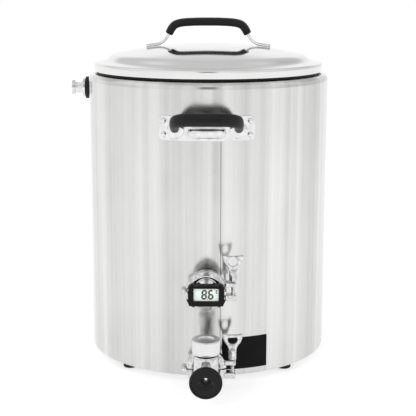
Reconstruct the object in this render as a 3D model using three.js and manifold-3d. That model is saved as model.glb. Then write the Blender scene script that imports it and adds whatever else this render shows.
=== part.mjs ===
// A double-walled, insulated brewing kettle of about 45 litres, with a lift-off domed lid, a
// clamped thermometer and a quarter-turn ball valve in front, a side inlet and a false bottom.
// Millimetres. Z is up, the floor is Z = 0, the vessel's axis is the Z axis, the valve faces -Y.
import * as THREE from "three";
import { mergeVertices } from "three/addons/utils/BufferGeometryUtils.js";
import Module from "manifold-3d";

const wasm = await Module();
wasm.setup();

// ---------------------------------------------------------------- driving dimensions
const SHELL_R = 210; // outer shell, 420 mm across
const SHELL_T = 1.5; // outer sheet
const FOOT_H = 12; // the shell's lower edge stands this far off the floor
const RIM_Z = 500; // flat steel rim under the lid
const SHOULDER_R = 12; // rolled shoulder between wall and rim
const HEM_R = 4; // rolled lower edge
const INNER_R = 190; // inside of the inner vessel
const INNER_T = 1.4;
const FLOOR_EDGE_Z = 78; // the inner floor falls from here ...
const FLOOR_CENTRE_Z = 66; // ... to here at the drain
const FLOOR_FILLET = 12;
const GAP = 0.3; // clearance between pieces that touch
const CLAMP_D = 37; // distance of a clamp's middle plane from the wall
const FLANGE_R = 25.25; // 50.5 mm sanitary flange
const FLANGE_T = 2.85;
const DRAIN_Z = 41; // valve axis
const DRAIN_PIPE_R = 12.7;
const DRAIN_BORE_R = 11.05;
const THERMO_Z = 172; // thermometer axis
const THERMO_TUBE_R = 19.05;
const THERMO_BORE_R = 17.45;
const PORT_Z = 472; // side inlet axis
const PORT_HOLE_R = 9.3;
const HANDLE_Z = 425; // where the side handles' rods meet the wall
const HANDLE_TILT = 20; // degrees that a side handle rises outward
const HANDLE_REACH = 68; // length of its rod out of the wall
const HANDLE_HALF = 50.5; // half the distance between its two legs
const LID_Z = 504.2; // lower edge of the lid
const LID_R = 200.5;
const LID_T = 1.2;
const LID_TOP_Z = 550; // crown of the dome
const DOME_R = 752; // radius of the dome's curve
const DOME_EDGE_R = 168; // where the dome meets the step down to the lid's flat border
const GRIP_WIDTH = 21;
const GRIP_THICKNESS = 15;
const VALVE_D = 70; // valve stem's distance from the wall
const VALVE_BORE_R = 9.5;
const BALL_R = 15.5;
const STEM_R = 5; // valve stem
const BOLT_X = 42.5; // tee-bolt of a clamp, from the clamp's axis
const BIG = 36; // segments round the vessel
const RING = 16; // segments round a fitting
const ROUND = 8; // segments round a rod or fastener
const FRONT = 0; // azimuths, degrees from -Y towards +X
const REAR = 180;
const LEFT = -90;

// ---------------------------------------------------------------- materials
const metal = (color, roughness) => new THREE.MeshStandardMaterial({ color, roughness, metalness: 1 });
const dull = (color, roughness) => new THREE.MeshStandardMaterial({ color, roughness, metalness: 0 });
const brushed = () => metal(0xd2d2d0, 0.32);
const polished = () => metal(0xdcdcda, 0.16);
const rubber = () => dull(0x1b1b1c, 0.62);
const plastic = () => dull(0x131314, 0.38);
const foam = () => dull(0xe6d9a8, 0.95);
const ptfe = () => dull(0xf0f0ec, 0.5);

// ---------------------------------------------------------------- geometry helpers
const rad = THREE.MathUtils.degToRad;

function toSolid(geometry) {
  const bare = geometry.clone();
  bare.deleteAttribute("normal");
  bare.deleteAttribute("uv");
  const merged = mergeVertices(bare, 1e-4);
  const vertProperties = new Float32Array(merged.attributes.position.array);
  const triVerts = new Uint32Array(merged.index.array);
  return new wasm.Manifold(new wasm.Mesh({ numProp: 3, vertProperties, triVerts }));
}

function toGeometry(solid) {
  const mesh = solid.getMesh();
  const geometry = new THREE.BufferGeometry();
  geometry.setAttribute("position", new THREE.BufferAttribute(mesh.vertProperties, 3));
  geometry.setIndex(new THREE.BufferAttribute(mesh.triVerts, 1));
  return geometry;
}

const join = (...parts) => toGeometry(parts.map(toSolid).reduce((a, b) => a.add(b)));
const cut = (body, ...tools) =>
  toGeometry(tools.map(toSolid).reduce((a, b) => a.subtract(b), toSolid(body)));
const overlap = (a, b) => toGeometry(toSolid(a).intersect(toSolid(b)));

// A profile of [radius, height] points, turned about the Z axis.
function revolve(profile, segments) {
  const points = profile.map(([r, z]) => new THREE.Vector2(r, z));
  const onAxis = points[0].x === 0 && points.at(-1).x === 0;
  if (!onAxis) points.push(points[0].clone());
  if (THREE.ShapeUtils.area(points) < 0) points.reverse();
  return new THREE.LatheGeometry(points, segments).rotateX(Math.PI / 2);
}

// Points of an arc about (x, y), both ends included, angles in degrees.
function arc(x, y, radius, from, to, steps) {
  return Array.from({ length: steps + 1 }, (_, i) => {
    const a = rad(from + ((to - from) * i) / steps);
    return [x + radius * Math.cos(a), y + radius * Math.sin(a)];
  });
}

function extrude(shape, low, high, curveSegments = 2) {
  const options = { depth: high - low, bevelEnabled: false, curveSegments };
  return new THREE.ExtrudeGeometry(shape, options).translate(0, 0, low);
}

function box(x0, x1, y0, y1, z0, z1) {
  const block = new THREE.BoxGeometry(x1 - x0, y1 - y0, z1 - z0);
  return block.translate((x0 + x1) / 2, (y0 + y1) / 2, (z0 + z1) / 2);
}

// A cylinder along Z, from low to high.
function rod(radius, low, high, segments = ROUND) {
  return revolve([[0, low], [radius, low], [radius, high], [0, high]], segments);
}

// A cylinder along Y, from low to high.
function upright(radius, low, high, segments = ROUND) {
  return rod(radius, low, high, segments).rotateX(-Math.PI / 2);
}

function tube(inner, outer, low, high, segments = RING) {
  return revolve([[inner, low], [outer, low], [outer, high], [inner, high]], segments);
}

function roundedRectangle(width, height, radius) {
  const [w, h] = [width / 2, height / 2];
  const shape = new THREE.Shape();
  shape.absarc(w - radius, h - radius, radius, 0, Math.PI / 2);
  shape.absarc(radius - w, h - radius, radius, Math.PI / 2, Math.PI);
  shape.absarc(radius - w, radius - h, radius, Math.PI, 1.5 * Math.PI);
  shape.absarc(w - radius, radius - h, radius, 1.5 * Math.PI, 2 * Math.PI);
  return shape;
}

const polygon = (points) => new THREE.Shape(points.map(([x, y]) => new THREE.Vector2(x, y)));

const circle = (x, y, radius, sides = 16) => polygon(arc(x, y, radius, 0, 360 - 360 / sides, sides - 1));

// The stretch of a curve between two of its arc-length parameters.
class Stretch extends THREE.Curve {
  constructor(curve, start, end) {
    super();
    Object.assign(this, { curve, start, end });
  }
  getPoint(t, target = new THREE.Vector3()) {
    return target.copy(this.curve.getPointAt(this.start + (this.end - this.start) * t));
  }
}

function sweep(shape, path, steps) {
  return new THREE.ExtrudeGeometry(shape, { extrudePath: path, steps, bevelEnabled: false });
}

function part(name, geometry, material) {
  const mesh = new THREE.Mesh(geometry, material);
  mesh.name = name;
  return mesh;
}

function group(...children) {
  return new THREE.Group().add(...children);
}

// A station is a place on the wall: its Z points outward from the shell, its Y up, its X sideways.
function stationMatrix(azimuth, height) {
  return new THREE.Matrix4()
    .makeRotationZ(rad(azimuth))
    .multiply(new THREE.Matrix4().makeTranslation(0, -SHELL_R, height))
    .multiply(new THREE.Matrix4().makeRotationX(Math.PI / 2));
}

function station(azimuth, height, ...children) {
  const place = group(...children);
  place.applyMatrix4(stationMatrix(azimuth, height));
  return place;
}

const atStation = (geometry, azimuth, height) =>
  geometry.clone().applyMatrix4(stationMatrix(azimuth, height));

// The space inside a given radius of the vessel, seen from a station.
const vesselInside = (radius) =>
  new THREE.CylinderGeometry(radius, radius, 200, BIG).translate(0, 0, -SHELL_R);

// ---------------------------------------------------------------- side handles
const HANDLE_BOLTS = [
  ["upper_left", -69.5, 439],
  ["upper_right", 69.5, 439],
  ["lower_left", -69.5, 417],
  ["lower_right", 69.5, 417],
];
const PLATE_W = 156;
const PLATE_H = 40;
const PLATE_Z = 427;
const PLATE_OUT_R = SHELL_R + 2.8;
const BOLT_R = 2.5;
const BOLT_HOLE_R = 2.9;
const boltTurn = (x) => THREE.MathUtils.radToDeg(Math.asin(x / PLATE_OUT_R));

// One leg, a bend and half the hand hold, mirrored: out of the wall is +Y, before the tilt.
function sideHandlePath() {
  const bend = 24;
  const half = [
    [-HANDLE_HALF, 0],
    [-HANDLE_HALF, 16],
    [-HANDLE_HALF, 32],
    ...arc(bend - HANDLE_HALF, HANDLE_REACH - bend, bend, 180, 90, 4),
    [-10, HANDLE_REACH],
  ];
  const otherHalf = half.map(([x, y]) => [-x, y]).reverse();
  return new THREE.CatmullRomCurve3([...half, ...otherHalf].map(([x, y]) => new THREE.Vector3(x, y, 0)));
}

// A flattened oval, fuller than an ellipse.
function gripSection() {
  const [sides, fullness] = [10, 0.8];
  const bulge = (v) => Math.sign(v) * Math.abs(v) ** fullness;
  const points = arc(0, 0, 1, 0, 360 - 360 / sides, sides - 1);
  return polygon(points.map(([x, y]) => [(bulge(x) * GRIP_WIDTH) / 2, (bulge(y) * GRIP_THICKNESS) / 2]));
}

function sideHandle(prefix, azimuth) {
  const path = sideHandlePath();
  const rodR = 5;
  const rootR = SHELL_R - 4; // radius at which the leg's centre line starts, inside the boss
  const tilt = (geometry) => geometry.rotateX(rad(180 - HANDLE_TILT)).translate(0, -rootR, HANDLE_Z);
  const bar = overlap(
    tilt(sweep(circle(0, 0, rodR, 8), path, 17)),
    box(-100, 100, -400, -SHELL_R + 1.5, HANDLE_Z - 20, HANDLE_Z + 60),
  );
  const curved = tube(SHELL_R + GAP, PLATE_OUT_R, PLATE_Z - PLATE_H / 2, PLATE_Z + PLATE_H / 2, BIG);
  const outline = extrude(roundedRectangle(PLATE_W, PLATE_H, 9), 0, 100)
    .rotateX(Math.PI / 2)
    .translate(0, -SHELL_R + 80, PLATE_Z);
  const [beadZ, beadHalf] = [HANDLE_Z - 4, 10];
  const beadProfile = arc(0, 0, 1, 0, 360 - 45, 7).map(([x, y]) => {
    return [SHELL_R + 1.5 + 5 * x, beadZ + beadHalf * y];
  });
  const beadRing = revolve(beadProfile, BIG);
  const beadOutline = extrude(roundedRectangle(62, 2 * beadHalf, beadHalf - 0.2), 0, 100)
    .rotateX(Math.PI / 2)
    .translate(0, -SHELL_R + 60, beadZ);
  const outside = tube(SHELL_R + GAP, SHELL_R + 40, HANDLE_Z - 40, HANDLE_Z + 40, BIG);
  const boss = (x) =>
    revolve([[0, 0], [14, 0], [14, 5], [11, 9], [0, 9]], 12)
      .rotateX(Math.PI / 2)
      .translate(x, -rootR, HANDLE_Z);
  const hole = (x, z) =>
    rod(BOLT_HOLE_R, -20, 20, 6)
      .rotateX(Math.PI / 2)
      .translate(0, -SHELL_R, z)
      .rotateZ(rad(boltTurn(x)));
  const bead = overlap(beadRing, beadOutline);
  const metalwork = join(overlap(curved, outline), bead, boss(-HANDLE_HALF), boss(HANDLE_HALF), bar);
  const holes = HANDLE_BOLTS.map(([, x, z]) => hole(x, z));
  const bracket = cut(overlap(metalwork, outside), ...holes);

  const section = gripSection();
  section.holes.push(circle(0, 0, rodR + 0.4, 8));
  const bare = 0.09; // share of the rod left bare at each end
  const grip = tilt(sweep(section, new Stretch(path, bare, 1 - bare), 14));

  const bolts = HANDLE_BOLTS.map(([where, x, z]) => {
    const end = 0.2 - SHELL_T; // just short of the sheet's inner face
    const profile = [[0, end], [BOLT_R, end], [BOLT_R, 3.1], [4.6, 3.1], [4.6, 4.6], [3, 6.4], [0, 6.8]];
    return station(boltTurn(x), z, part(`${prefix}_handle_bolt_${where}`, revolve(profile, 8), polished()));
  });
  const handle = group(
    part(`${prefix}_handle_bracket`, bracket, brushed()),
    part(`${prefix}_handle_grip`, grip, rubber()),
    ...bolts,
  );
  handle.rotation.z = rad(azimuth);
  return handle;
}

// ---------------------------------------------------------------- vessel
const boltHoles = [FRONT, REAR].flatMap((azimuth) =>
  HANDLE_BOLTS.map(([, x, z]) => atStation(rod(BOLT_HOLE_R, -14, 4, 6), azimuth + boltTurn(x), z)),
);

function outerShell() {
  const inside = SHELL_R - SHELL_T;
  const shoulder = RIM_Z - SHOULDER_R;
  const hem = FOOT_H + HEM_R;
  const profile = [
    [INNER_R + INNER_T + GAP, RIM_Z],
    ...arc(SHELL_R - SHOULDER_R, shoulder, SHOULDER_R, 90, 0, 3),
    ...arc(SHELL_R - HEM_R, hem, HEM_R, 0, -90, 2),
    [SHELL_R - 8, FOOT_H],
    [SHELL_R - 8, FOOT_H + SHELL_T],
    [SHELL_R - HEM_R, FOOT_H + SHELL_T],
    [inside, hem],
    ...arc(SHELL_R - SHOULDER_R, shoulder, SHOULDER_R - SHELL_T, 0, 90, 3),
    [INNER_R + INNER_T + GAP, RIM_Z - SHELL_T],
  ];
  return cut(
    revolve(profile, BIG),
    atStation(rod(DRAIN_PIPE_R + GAP, -30, 10, RING), FRONT, DRAIN_Z),
    atStation(rod(THERMO_TUBE_R + GAP, -10, 10, RING), FRONT, THERMO_Z),
    atStation(rod(PORT_HOLE_R, -10, 10), LEFT, PORT_Z),
    ...boltHoles,
  );
}

function innerVessel() {
  const outside = INNER_R + INNER_T;
  const fillet = (radius, steps) =>
    arc(INNER_R - FLOOR_FILLET, FLOOR_EDGE_Z + FLOOR_FILLET, radius, 0, -90, steps);
  const profile = [
    [INNER_R, RIM_Z],
    ...fillet(FLOOR_FILLET, 2),
    [DRAIN_BORE_R, FLOOR_CENTRE_Z],
    [DRAIN_BORE_R, FLOOR_CENTRE_Z - INNER_T],
    ...fillet(FLOOR_FILLET + INNER_T, 2).reverse(),
    [outside, RIM_Z],
  ];
  return cut(
    revolve(profile, BIG),
    atStation(rod(THERMO_BORE_R, -40, 0, RING), FRONT, THERMO_Z),
    atStation(rod(PORT_HOLE_R, -40, 0), LEFT, PORT_Z),
  );
}

// Down from the floor's centre, a quarter bend, then straight out through the front.
function drainPath(start, end) {
  const bend = 17;
  const elbow = arc(-bend, DRAIN_Z + bend, bend, 0, -90, 5);
  const straight = [-60, -110, -160, end].map((y) => [y, DRAIN_Z]);
  const points = [[0, start], ...elbow, ...straight];
  return new THREE.CatmullRomCurve3(points.map(([y, z]) => new THREE.Vector3(0, y, z)));
}

function drainTube(radius, start, end) {
  return sweep(circle(0, 0, radius, 12), drainPath(start, end), 11);
}

// A sanitary flange facing +Z at the height `face`, on a neck of the given radius.
function flange(bore, neck, face) {
  const taper = Math.tan(rad(20));
  const back = face - FLANGE_T - (FLANGE_R - neck) * taper;
  const rim = face - FLANGE_T;
  return revolve([[bore, face], [FLANGE_R, face], [FLANGE_R, rim], [neck, back], [bore, back]], RING);
}

const mirrored = (geometry, plane) => geometry.rotateY(Math.PI).translate(0, 0, 2 * plane);

function drainPipe() {
  const face = CLAMP_D - 1;
  const top = FLOOR_CENTRE_Z - INNER_T - GAP;
  const end = -(SHELL_R + face);
  const outer = join(
    drainTube(DRAIN_PIPE_R, top, end),
    atStation(flange(DRAIN_BORE_R - 2, DRAIN_PIPE_R, face), FRONT, DRAIN_Z),
  );
  return cut(outer, drainTube(DRAIN_BORE_R, top + 5, end - 5));
}

function wallInsulation() {
  const profile = tube(INNER_R + INNER_T + GAP, SHELL_R - SHELL_T - GAP, 92, RIM_Z - SHOULDER_R, BIG);
  return cut(
    profile,
    atStation(rod(THERMO_TUBE_R + GAP, -40, 10, RING), FRONT, THERMO_Z),
    atStation(rod(PORT_HOLE_R, -40, 10), LEFT, PORT_Z),
  );
}

function baseInsulation() {
  const below = INNER_T + 1.3; // from the floor's upper face to the foam
  const under = FLOOR_CENTRE_Z - below - 0.8;
  const top = FLOOR_EDGE_Z + FLOOR_FILLET + 1;
  const profile = [
    [0, 17],
    [SHELL_R - SHELL_T - GAP, 17],
    [SHELL_R - SHELL_T - GAP, top],
    [INNER_R + INNER_T + 1, top],
    [INNER_R - 1.5, FLOOR_EDGE_Z - 0.5],
    [INNER_R - FLOOR_FILLET, FLOOR_EDGE_Z - below],
    [0, under],
  ];
  const half = DRAIN_PIPE_R + 1.5; // room for the drain pipe
  const channel = drainTube(half, under + 6, -SHELL_R - 10);
  const slot = box(-half, half, -SHELL_R - 10, half, 10, DRAIN_Z + 6);
  return cut(revolve(profile, BIG), channel, slot);
}

const FOOT_CIRCLE = 185;
const FEET = [
  ["front_right", 46],
  ["rear_right", 134],
  ["rear_left", 226],
  ["front_left", 314],
];

function baseCover() {
  const disc = rod(SHELL_R - 8 - GAP, FOOT_H, FOOT_H + SHELL_T, BIG);
  const holes = FEET.map(([, azimuth]) =>
    rod(5, 0, 20).translate(0, -FOOT_CIRCLE, 0).rotateZ(rad(azimuth)),
  );
  return cut(disc, ...holes);
}

function foot(where, azimuth) {
  const [cover, neck, head] = [FOOT_H + SHELL_T, 4.6, 6.5];
  const profile = [
    [0, 0], [12, 0], [13, FOOT_H - GAP], [neck, FOOT_H - GAP],
    [neck, cover + GAP], [head, cover + GAP], [neck, cover + 3], [0, cover + 3],
  ];
  const mesh = part(`foot_${where}`, revolve(profile, 12), rubber());
  mesh.position.set(FOOT_CIRCLE * Math.sin(rad(azimuth)), -FOOT_CIRCLE * Math.cos(rad(azimuth)), 0);
  return mesh;
}

function badgePlate() {
  const [low, high, from, to] = [23.5, 78, 7, 28.4];
  const ring = tube(SHELL_R + GAP, SHELL_R + 1, low, high, BIG);
  const [x0, x1] = [from, to].map((azimuth) => SHELL_R * Math.sin(rad(azimuth)));
  return overlap(ring, box(x0, x1, -SHELL_R - 10, -SHELL_R / 2, low - 1, high + 1));
}

// ---------------------------------------------------------------- side inlet
function sideInlet() {
  const hex = (radius, low, high) => rod(radius, low, high, 6);
  const fitting = cut(
    join(rod(8.9, -28, 7), rod(16.2, 6.3, 11.1, RING), hex(10.6, 11, 24.4), rod(13, 24.3, 30.2, RING)),
    rod(6, -40, 40),
  );
  const gasket = cut(tube(9.3, 19.3, -3, 6, RING), vesselInside(SHELL_R + GAP));
  const locknut = cut(hex(14, -27.4, -21.6), rod(9.2, -40, 0));
  return station(
    LEFT,
    PORT_Z,
    part("inlet_fitting", fitting, polished()),
    part("inlet_gasket", gasket, rubber()),
    part("inlet_locknut", locknut, polished()),
  );
}

// ---------------------------------------------------------------- sanitary clamp
const PIVOT_Y = -11.5; // the tee-bolt's trunnion, from the clamp's axis
const HINGE_X = -36.5;
const EAR_TOP = 14;

function clampHalf(side, ownKnuckles, otherKnuckles) {
  const profile = [
    [33, -5.5], [33, 5.5], [26, 9], [22.5, 9], [22.5, 5.6], [25.8, 4.3],
    [25.8, -4.3], [22.5, -5.6], [22.5, -9], [26, -9],
  ];
  const ring = revolve(profile, RING);
  const halfSpace = box(-60, 60, side > 0 ? 0.75 : -60, side > 0 ? 60 : -0.75, -20, 20);
  const [low, high] = side > 0 ? [6.5, EAR_TOP] : [-16, -6.5];
  const ear = cut(box(29.5, 48, low, high, -8, 8), box(39, 60, low - 1, high + 1, -3.5, 3.5));
  const knuckle = (radius, [z0, z1]) => rod(radius, z0, z1).translate(HINGE_X, 0, 0);
  const clearances = otherKnuckles.map(([z0, z1]) => knuckle(5, [z0 - 0.35, z1 + 0.35]));
  const knuckles = ownKnuckles.map((span) => knuckle(4.5, span));
  const body = join(cut(overlap(ring, halfSpace), ...clearances), ear, ...knuckles);
  const pinHole = rod(2.1, -20, 20, 8).translate(HINGE_X, 0, 0);
  const trunnionHole = rod(3.2, -20, 20).translate(BOLT_X, PIVOT_Y, 0);
  return side > 0 ? cut(body, pinHole) : cut(body, pinHole, trunnionHole);
}

function wingNut() {
  const [low, shoulder, top] = [EAR_TOP + 0.9, 30, 58];
  const plate = new THREE.Shape();
  plate.moveTo(-6, shoulder);
  plate.quadraticCurveTo(-6.5, 36, -11, 41);
  plate.quadraticCurveTo(-16.2, 47, -16.2, top - 1.5);
  plate.lineTo(-14.5, top);
  plate.lineTo(14.5, top);
  plate.lineTo(16.2, top - 1.5);
  plate.quadraticCurveTo(16.2, 47, 11, 41);
  plate.quadraticCurveTo(6.5, 36, 6, shoulder);
  plate.holes.push(circle(0, 47.6, 7.6));
  const body = join(extrude(plate, -2.5, 2.5, 4), upright(6.5, low, 34, RING));
  return cut(body, upright(3.35, low - 1, 41)).translate(BOLT_X, 0, 0);
}

function clamp(prefix) {
  const middle = [[-2.8, 2.8]];
  const outer = [[-8, -3.4], [3.4, 8]];
  const bolt = join(upright(3, PIVOT_Y, 38, 10), rod(2.8, -7.6, 7.6).translate(0, PIVOT_Y, 0));
  const pin = join(rod(1.8, -9.6, 9, 8), rod(3.4, -10.6, -8.4)).translate(HINGE_X, 0, 0);
  const pieces = group(
    part(`${prefix}_clamp_upper`, clampHalf(1, middle, outer), polished()),
    part(`${prefix}_clamp_lower`, clampHalf(-1, outer, middle), polished()),
    part(`${prefix}_clamp_hinge_pin`, pin, polished()),
    part(`${prefix}_clamp_tee_bolt`, bolt.translate(BOLT_X, 0, 0), polished()),
    part(`${prefix}_clamp_wing_nut`, wingNut(), polished()),
  );
  pieces.position.z = CLAMP_D;
  return pieces;
}

// ---------------------------------------------------------------- thermometer
const HEAD_BACK = 54; // back of the display head, from the wall
const HEAD_FRONT = 71;
const WELL_R = 4.75;

// The head's outline: each side bulges a little, the corners are small.
function headOutline(inset) {
  const [w, top, bottom, corner] = [27.4 - inset, 15 - inset, -17.4 + inset, 1.6];
  const middle = (top + bottom) / 2;
  const shape = new THREE.Shape();
  shape.moveTo(corner - w, bottom);
  shape.quadraticCurveTo(0, bottom - 1.6, w - corner, bottom);
  shape.quadraticCurveTo(w, bottom, w, bottom + corner);
  shape.quadraticCurveTo(w + 3, middle, w, top - corner);
  shape.quadraticCurveTo(w, top, w - corner, top);
  shape.quadraticCurveTo(0, top + 1.2, corner - w, top);
  shape.quadraticCurveTo(-w, top, -w, top - corner);
  shape.quadraticCurveTo(-w - 3, middle, -w, bottom + corner);
  shape.quadraticCurveTo(-w, bottom, corner - w, bottom);
  return shape;
}

function thermometer() {
  const face = CLAMP_D - 1;
  const ferrule = cut(
    join(
      tube(THERMO_BORE_R, THERMO_TUBE_R, -30, face - 1),
      flange(THERMO_BORE_R, THERMO_TUBE_R - 0.1, face),
    ),
    vesselInside(INNER_R + INNER_T + GAP),
  );
  const gasket = tube(17.6, FLANGE_R, CLAMP_D - 1 + GAP, CLAMP_D + 1 - GAP);
  const wellEnd = -95;
  const cap = [
    [0, CLAMP_D + 1], [18.9, CLAMP_D + 1], [18.9, CLAMP_D + 6], [9, 46.8], [9, 47.5], [0, 47.5],
  ];
  const well = cut(
    join(
      mirrored(flange(2, 19, face), CLAMP_D),
      revolve(cap, RING),
      rod(WELL_R, wellEnd, CLAMP_D + 4),
    ),
    rod(3.4, wellEnd + 2, 60),
  );
  const probe = join(rod(2.9, wellEnd + 4, HEAD_BACK + 3.7), rod(5, HEAD_BACK + 2.4, HEAD_BACK + 5));
  const [windowW, windowH, windowY] = [39.6, 20.5, 1.1];
  const window = (grow) => roundedRectangle(windowW + grow, windowH + grow, 1.2);
  const head = cut(
    join(extrude(headOutline(0), HEAD_BACK, HEAD_FRONT, 3), rod(9.5, 47.9, HEAD_BACK + 1, RING)),
    extrude(headOutline(2), HEAD_BACK + 2, HEAD_FRONT - 3, 3),
    extrude(window(0), HEAD_FRONT - 4, HEAD_FRONT + 1).translate(0, windowY, 0),
    rod(3.4, 40, HEAD_BACK + 4),
  );
  const lens = extrude(window(-2 * GAP), HEAD_FRONT - 2, HEAD_FRONT - 0.8).translate(0, windowY, 0);
  const display = box(-23, 23, windowY - 11.4, windowY + 11.4, HEAD_FRONT - 6, HEAD_FRONT - 3.4);
  return station(
    FRONT,
    THERMO_Z,
    part("thermometer_ferrule", ferrule, brushed()),
    part("thermometer_gasket", gasket, rubber()),
    part("thermowell", well, polished()),
    clamp("thermometer"),
    part("thermometer_probe", probe, polished()),
    part("thermometer_head", head, plastic()),
    part("thermometer_lens", lens, dull(0xdfe8df, 0.1)),
    part("thermometer_display", display, dull(0xb9c7b8, 0.6)),
  );
}

// ---------------------------------------------------------------- ball valve
const SEAT_R = 16; // radius of the chamber that the seats and the ball sit in
const NECK_TOP = 33; // top of the valve body, above the valve's axis
const KNOB_R = 23.5;
const KNOB_LOW = 36;
const KNOB_HIGH = 60.3;

function valve() {
  const capEnd = 53;
  const [chamberLow, chamberHigh] = [capEnd + GAP, VALVE_D + SEAT_R + 0.7];
  const atStem = (geometry) => geometry.translate(0, 0, VALVE_D);
  const sphere = (radius) => atStem(new THREE.SphereGeometry(radius, RING, 8).rotateX(Math.PI / 2));

  const gasket = tube(DRAIN_BORE_R + 0.2, FLANGE_R, CLAMP_D - 1 + GAP, CLAMP_D + 1 - GAP);
  const inletCap = cut(
    join(
      mirrored(flange(2, DRAIN_PIPE_R, CLAMP_D - 1), CLAMP_D),
      rod(DRAIN_PIPE_R, CLAMP_D + 2, 50, RING),
      rod(19.5, 49, capEnd, RING),
    ),
    rod(VALVE_BORE_R, 30, 60, RING),
  );
  const tower = revolve(
    [[0, -21], [17, -21], [20, -18], [20, NECK_TOP - 2], [18, NECK_TOP], [0, NECK_TOP]],
    RING,
  );
  const behind = box(-25, 25, -25, 25, 0, chamberLow);
  const outer = join(
    atStem(tower.rotateX(-Math.PI / 2)),
    rod(19.5, chamberLow, 88, RING),
    rod(13, 87, 104, RING),
    revolve([[0, 101], [14, 101], [23.4, 104], [23.4, 107.6], [0, 107.6]], RING),
  );
  const body = cut(
    outer,
    rod(SEAT_R + GAP, chamberLow - 1, chamberHigh, RING),
    rod(VALVE_BORE_R, 60, 115, RING),
    atStem(upright(STEM_R + 0.4, 0, NECK_TOP + 1, RING)),
    behind,
  );
  const seat = (low, high) => cut(tube(VALVE_BORE_R + 0.4, SEAT_R, low, high), sphere(BALL_R + 0.8));
  const ball = cut(
    sphere(BALL_R),
    rod(VALVE_BORE_R, 30, 110, RING),
    box(-2.6, 2.6, BALL_R - 4, BALL_R + 2, VALVE_D - 6, VALVE_D + 6),
  );
  const tongue = box(-2.2, 2.2, BALL_R - 3.4, BALL_R + 2, -4.2, 4.2);
  const stem = atStem(join(upright(STEM_R, BALL_R + 0.6, KNOB_HIGH - 6), tongue));
  const packing = atStem(tube(STEM_R + 0.4, 17, NECK_TOP + GAP, KNOB_LOW - 0.7).rotateX(-Math.PI / 2));
  const knobProfile = [
    [0, KNOB_LOW], [21.5, KNOB_LOW], [KNOB_R, KNOB_LOW + 2], [KNOB_R, KNOB_HIGH - 2],
    [21.5, KNOB_HIGH], [13.8, KNOB_HIGH], [13, KNOB_HIGH - 2.6], [0, KNOB_HIGH - 2.6],
  ];
  const stemHole = rod(STEM_R + GAP, 0, KNOB_HIGH - 5.7);
  const knob = atStem(cut(revolve(knobProfile, 24), stemHole).rotateX(-Math.PI / 2));
  const lipR = 26.4;
  const ringProfile = [
    [11, 108], [23.7, 108], [23.7, 104.4], [lipR - 0.6, 104.4], [lipR, 105.4],
    ...arc(lipR - 2.9, 108.6, 2.9, 0, 90, 3), [21.8, 111.2], [11, 111.2],
  ];
  const outletRing = revolve(ringProfile, RING);
  return station(
    FRONT,
    DRAIN_Z,
    part("valve_gasket", gasket, rubber()),
    clamp("valve"),
    part("valve_inlet_cap", inletCap, brushed()),
    part("valve_body", body, brushed()),
    part("valve_seat_rear", seat(chamberLow + GAP, VALVE_D - 9), ptfe()),
    part("valve_seat_front", seat(VALVE_D + 9, chamberHigh - GAP), ptfe()),
    part("valve_ball", ball, polished()),
    part("valve_stem", stem, polished()),
    part("valve_packing_ring", packing, rubber()),
    part("valve_knob", knob, brushed()),
    part("valve_outlet_ring", outletRing, plastic()),
  );
}

// ---------------------------------------------------------------- lid
const domeZ = (r) => LID_TOP_Z - (r * r) / (2 * DOME_R);

function lidShell() {
  const dome = [0, 60, 115, DOME_EDGE_R].map((r) => [r, domeZ(r)]);
  const step = [[174, 527], [183, 521.5], [197.5, 518]];
  const skirt = [[LID_R, 515], [LID_R, LID_Z]];
  const inner = [[LID_R - LID_T, LID_Z], [LID_R - LID_T, 514.6], [197, 516.8]];
  const under = [...step.slice(0, 2).reverse(), ...dome.slice().reverse()].map(([r, z]) => [r, z - LID_T]);
  return revolve([...dome, ...step, ...skirt, ...inner, ...under], BIG);
}

const PAN_R = 187; // the part of the lid that reaches down into the vessel
const PAN_DROP = 9;

function lidPan() {
  const flangeR = LID_R - 2.6;
  const low = LID_Z - PAN_DROP;
  const profile = [
    [0, low], [PAN_R - 3, low], [PAN_R, low + 3], [PAN_R, LID_Z],
    [flangeR, LID_Z], [flangeR, LID_Z + LID_T], [PAN_R - LID_T, LID_Z + LID_T],
    [PAN_R - LID_T, low + 3.5], [PAN_R - 3.5, low + LID_T], [0, low + LID_T],
  ];
  return revolve(profile, BIG);
}

function lidHandlePath() {
  const half = [
    [-108.5, 545.4], [-97, 547.1], [-86.5, 548.9], [-79, 552.7], [-73, 559], [-68.6, 567],
    [-64, 575.3], [-57.5, 581.9], [-45, 585.4], [-22, 586.9],
  ];
  const points = [...half, [0, 587.1], ...half.map(([x, z]) => [-x, z]).reverse()];
  return new THREE.CatmullRomCurve3(points.map(([x, z]) => new THREE.Vector3(x, z, 0)));
}

function lid() {
  const path = lidHandlePath();
  const [strapW, strapT] = [15, 5.4];
  const stand = (geometry) => geometry.rotateX(Math.PI / 2);
  const rectangle = (w, t) => [[-w / 2, -t / 2], [w / 2, -t / 2], [w / 2, t / 2], [-w / 2, t / 2]];
  const strap = stand(sweep(polygon(rectangle(strapW, strapT)), path, 32));
  const section = gripSection();
  section.holes.push(polygon(rectangle(strapW + 1, strapT + 1.2)));
  const bare = 0.187; // share of the strap left bare at each end
  const grip = stand(sweep(section, new Stretch(path, bare, 1 - bare), 21));
  const gasket = tube(INNER_R + 1, LID_R - 6.5, RIM_Z + GAP, LID_Z - GAP, BIG);
  return group(
    part("lid_shell", lidShell(), brushed()),
    part("lid_pan", lidPan(), brushed()),
    part("lid_gasket", gasket, rubber()),
    part("lid_handle_strap", strap, polished()),
    part("lid_handle_grip", grip, rubber()),
  );
}

// ---------------------------------------------------------------- false bottom
const PLATE_TOP = 93.5;
const FALSE_R = 182.5;

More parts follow.
